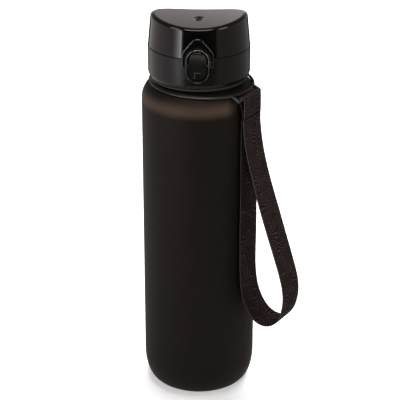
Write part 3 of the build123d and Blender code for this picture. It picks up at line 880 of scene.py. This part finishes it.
class BOTTLE_OT_collar(bpy.types.Operator):
    """Makes the soft collar round the neck, with the lug and the bar that hold the strap"""

    bl_idname = "bottle.collar"
    bl_label = "Collar"

    def execute(self, context):
        collar = neck_collar()
        give(collar, soft_rubber("collar_rubber", (0.004, 0.0034, 0.0032), 0.26, 0.5))
        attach(collar, "collar")
        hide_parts("strap_ring")
        return {"FINISHED"}


class BOTTLE_OT_strap(bpy.types.Operator):
    """Makes the carry strap of patterned webbing, and the stitches that hold its fold"""

    bl_idname = "bottle.strap"
    bl_label = "Carry strap"

    def execute(self, context):
        settings = context.scene.bottle_strap
        line, length = webbing_line(settings.thickness)
        strap = webbing(line, length, settings)
        give(strap, webbing_cloth(settings))
        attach(strap, "strap")
        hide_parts("strap_webbing")
        stitches = tack_stitches(settings)
        give(stitches, sewing_thread())
        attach(stitches, "strap")
        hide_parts("strap_stitching")
        return {"FINISHED"}


class BOTTLE_OT_stage(bpy.types.Operator):
    """Sets the floor, the studio lights and the camera"""

    bl_idname = "bottle.stage"
    bl_label = "Studio"

    def execute(self, context):
        settings = context.scene.bottle_studio
        self.floor()
        self.world(context)
        self.lights()
        self.camera(context, settings)
        return {"FINISHED"}

    def floor(self):
        """A square floor at the height the bottle stands on."""
        corners = FLOOR_HALF_SIZE * np.array([[-1, -1, 0], [1, -1, 0], [1, 1, 0], [-1, 1, 0]])
        floor = new_piece("floor", corners, np.array([[0, 1, 2, 3]]), smooth=False)
        finish = Finish("pale_floor", Base_Color=(0.9, 0.9, 0.9), Roughness=0.6)
        give(floor, finish.link(Emission_Color=(1.0, 1.0, 1.0), Emission_Strength=FLOOR_GLOW))
        self.floor_card()

    def world(self, context):
        """A backdrop whose light falls off with height."""
        world = bpy.data.worlds.new("studio")
        world.use_nodes = True
        nodes = NodeTree(world.node_tree)
        x, _, z = nodes.parts(nodes.add("ShaderNodeTexCoord", output="Generated"))
        lean = (x * (x * BACKDROP_SPREAD + BACKDROP_LEAN)).math("MINIMUM", BACKDROP_MOST)
        stops = [(sine, tuple(level * tint for tint in BACKDROP_TINT)) for sine, level in BACKDROP]
        light = nodes.add("ShaderNodeValToRGB", {"stops": stops}, (z + lean,), output="Color")
        nodes.feed(world.node_tree.nodes["Background"].inputs["Color"], light)
        context.scene.world = world
        context.scene.view_settings.view_transform = "Standard"

    def card(self, name, centre, side, rise, emission):
        """A card that only reflections see: its middle, two half edges, and the colour of its light."""
        flat = np.array([[0, 0], [1, 0], [1, 1], [0, 1]], float)
        corners = centre + (2 * flat[:, :1] - 1) * side + (2 * flat[:, 1:] - 1) * rise
        card = new_piece(name, corners, np.array([[0, 1, 2, 3]]), uv=flat, smooth=False)
        finish = Finish(name, Base_Color=(0.0, 0.0, 0.0), Roughness=1.0, Specular_IOR_Level=0.0)
        give(card, finish.link(Emission_Color=emission(finish), Emission_Strength=1.0))
        card.visible_camera = False
        card.visible_diffuse = False
        card.visible_shadow = False

    def upright(self, name, degrees, distance, half_width, low, high, emission):
        """An upright card that faces the axis, at an angle to the right of the front."""
        azimuth = math.radians(degrees)
        direction = np.array([math.sin(azimuth), -math.cos(azimuth), 0])
        side = np.array([math.cos(azimuth), math.sin(azimuth), 0])
        centre = direction * distance + up * (low + high) / 2
        self.card(name, centre, side * half_width, up * (high - low) / 2, emission)

    def floor_card(self):
        """What the walls reflect of the floor: pale on the left and dimmer on the right."""

        def emission(finish):
            x, y, _ = finish.place()
            left = (0 - x).step(0.05, 0.30)
            right = (0.9 * x + 0.42 * y).step(0.0, 0.32)
            far = (x * x + y * y).step(0.16, 0.5)
            pale = finish.mix(left, (0.60, 0.57, 0.555), (0.92, 0.86, 0.84))
            return finish.mix(right * (1 - 0.65 * far), pale, (0.10, 0.085, 0.075))

        side, rise = FLOOR_CARD_HALF_SIZE * np.eye(3)[:2]
        self.card("floor_card", up * FLOOR_CARD_HEIGHT, side, rise, emission)

    def lights(self):
        """A soft light overhead, and the cards that shape the gloss."""
        light = bpy.data.lights.new("overhead", "AREA")
        light.energy = LAMP_ENERGY
        light.shape = "DISK"
        light.size = LAMP_SIZE
        lamp = bpy.data.objects.new("overhead", light)
        lamp.location = LAMP_PLACE
        lamp.rotation_euler = LAMP_TURN
        lamp.visible_glossy = False
        bpy.context.scene.collection.objects.link(lamp)

        def black(finish):
            return (0.0, 0.0, 0.0)

        def rim(finish):
            return (4.6, 4.4, 4.3)

        def strip(finish):
            return finish.mix(finish.uv()[0] ** 2, (1.0, 1.0, 1.1), (9.5, 9.8, 10.4))

        def soft(finish):
            sideways = (finish.uv()[0] * 2 - 1).absolute()
            return finish.mix(sideways.step(0.7, 1.0), (7.5, 7.0, 6.8), (0.2, 0.2, 0.2))

        self.upright("black_card", 3.2, 0.42, 0.314, 0.0, 0.6, black)
        self.upright("strip_card", -48.5, 0.52, 0.105, 0.082, 0.4, strip)
        self.upright("back_card", 181.5, 0.40, 0.25, 0.0, 0.24, black)
        self.upright("left_rim_card", -56, 0.7, 0.13, 0.42, 0.85, rim)
        self.upright("right_rim_card", 58, 0.7, 0.13, 0.36, 0.85, rim)
        direction = np.array([0, -math.cos(SOFT_CARD_RISE), math.sin(SOFT_CARD_RISE)])
        rise = np.array([0, math.sin(SOFT_CARD_RISE), math.cos(SOFT_CARD_RISE)]) * SOFT_CARD_HALF_HEIGHT
        side = np.array([SOFT_CARD_HALF_WIDTH, 0, 0])
        self.card("soft_card", direction + up * SOFT_CARD_AIM, side, rise, soft)

    def camera(self, context, settings):
        """The camera, at its distance and angles from the point that it looks at."""
        data = bpy.data.cameras.new("camera")
        data.sensor_width = 36.0
        data.lens = settings.lens
        data.clip_start = 0.01
        camera = bpy.data.objects.new("camera", data)
        right = np.array([math.cos(settings.azimuth), math.sin(settings.azimuth), 0])
        back = np.array([math.sin(settings.azimuth), -math.cos(settings.azimuth), 0])
        toward = back * math.cos(settings.pitch) + up * math.sin(settings.pitch)
        aim = up * settings.aim_height + right * settings.aim_shift
        camera.location = aim + toward * settings.distance
        camera.rotation_euler = (math.pi / 2 - settings.pitch, 0, settings.azimuth)
        context.scene.collection.objects.link(camera)
        context.scene.camera = camera


class BOTTLE_PT_panel(bpy.types.Panel):
    """Lists the bottle's pieces and their settings in the sidebar"""

    bl_idname = "BOTTLE_PT_panel"
    bl_label = "Bottle"
    bl_space_type = "VIEW_3D"
    bl_region_type = "UI"
    bl_category = "Bottle"

    def draw(self, context):
        for group in (getattr(context.scene, name) for name in SETTINGS):
            box = self.layout.box()
            for name in group.bl_rna.properties.keys():
                if name not in ("rna_type", "name"):
                    box.prop(group, name)
        for operator in OPERATORS:
            self.layout.operator(operator.bl_idname)


OPERATORS = (BOTTLE_OT_stage, BOTTLE_OT_shell, BOTTLE_OT_cap, BOTTLE_OT_collar, BOTTLE_OT_strap)
SETTINGS = {
    "bottle_finish": BottleSettings,
    "bottle_strap": StrapSettings,
    "bottle_studio": StudioSettings,
}


def register():
    for each in (*SETTINGS.values(), *OPERATORS, BOTTLE_PT_panel):
        bpy.utils.register_class(each)
    for name, group in SETTINGS.items():
        setattr(bpy.types.Scene, name, bpy.props.PointerProperty(type=group))


def unregister():
    for name in SETTINGS:
        delattr(bpy.types.Scene, name)
    for each in reversed((*SETTINGS.values(), *OPERATORS, BOTTLE_PT_panel)):
        bpy.utils.unregister_class(each)


def main():
    register()
    for operator in OPERATORS:
        group, name = operator.bl_idname.split(".")
        getattr(getattr(bpy.ops, group), name)()


if __name__ == "__main__":
    main()
